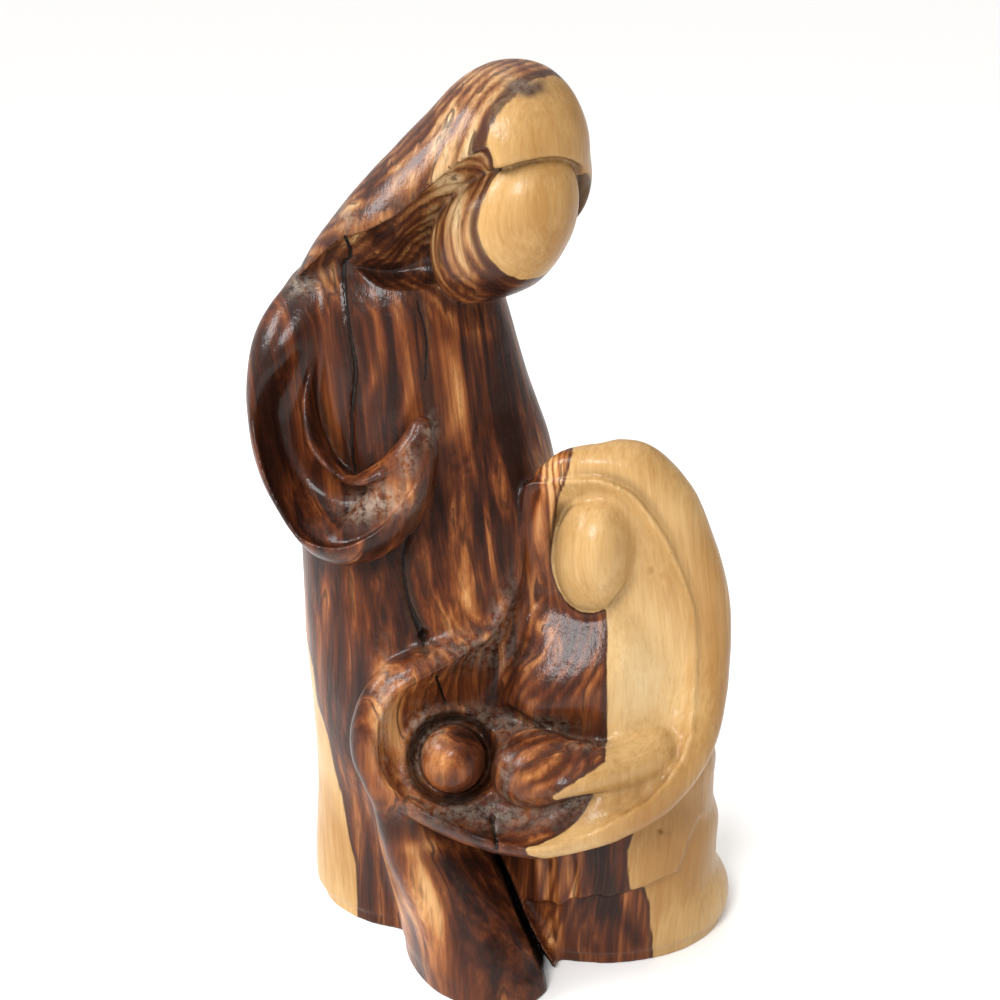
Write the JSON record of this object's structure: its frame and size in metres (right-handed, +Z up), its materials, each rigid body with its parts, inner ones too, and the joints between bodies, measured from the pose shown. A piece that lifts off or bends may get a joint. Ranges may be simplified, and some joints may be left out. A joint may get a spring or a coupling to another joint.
{
  "type": "olive wood holy family carving",
  "caption": "Abstract wood carving of a hooded standing figure bowed over a kneeling figure whose shawl curls in a ring around a swaddled child, on a flat underside.",
  "frame": {"origin": "middle of the underside's bounding rectangle, on the surface the carving stands on", "axes": "+Z up, the figures face -Y, +X to the kneeling figure's side"},
  "size_m": [0.137, 0.0925, 0.2523],
  "materials": {
    "olive_wood": "waxed and polished, dark red-brown figured heartwood with honey-yellow sapwood"
  },
  "bodies": {
    "root": {"holy_family_carving": "olive_wood"}
  },
  "joints": []
}
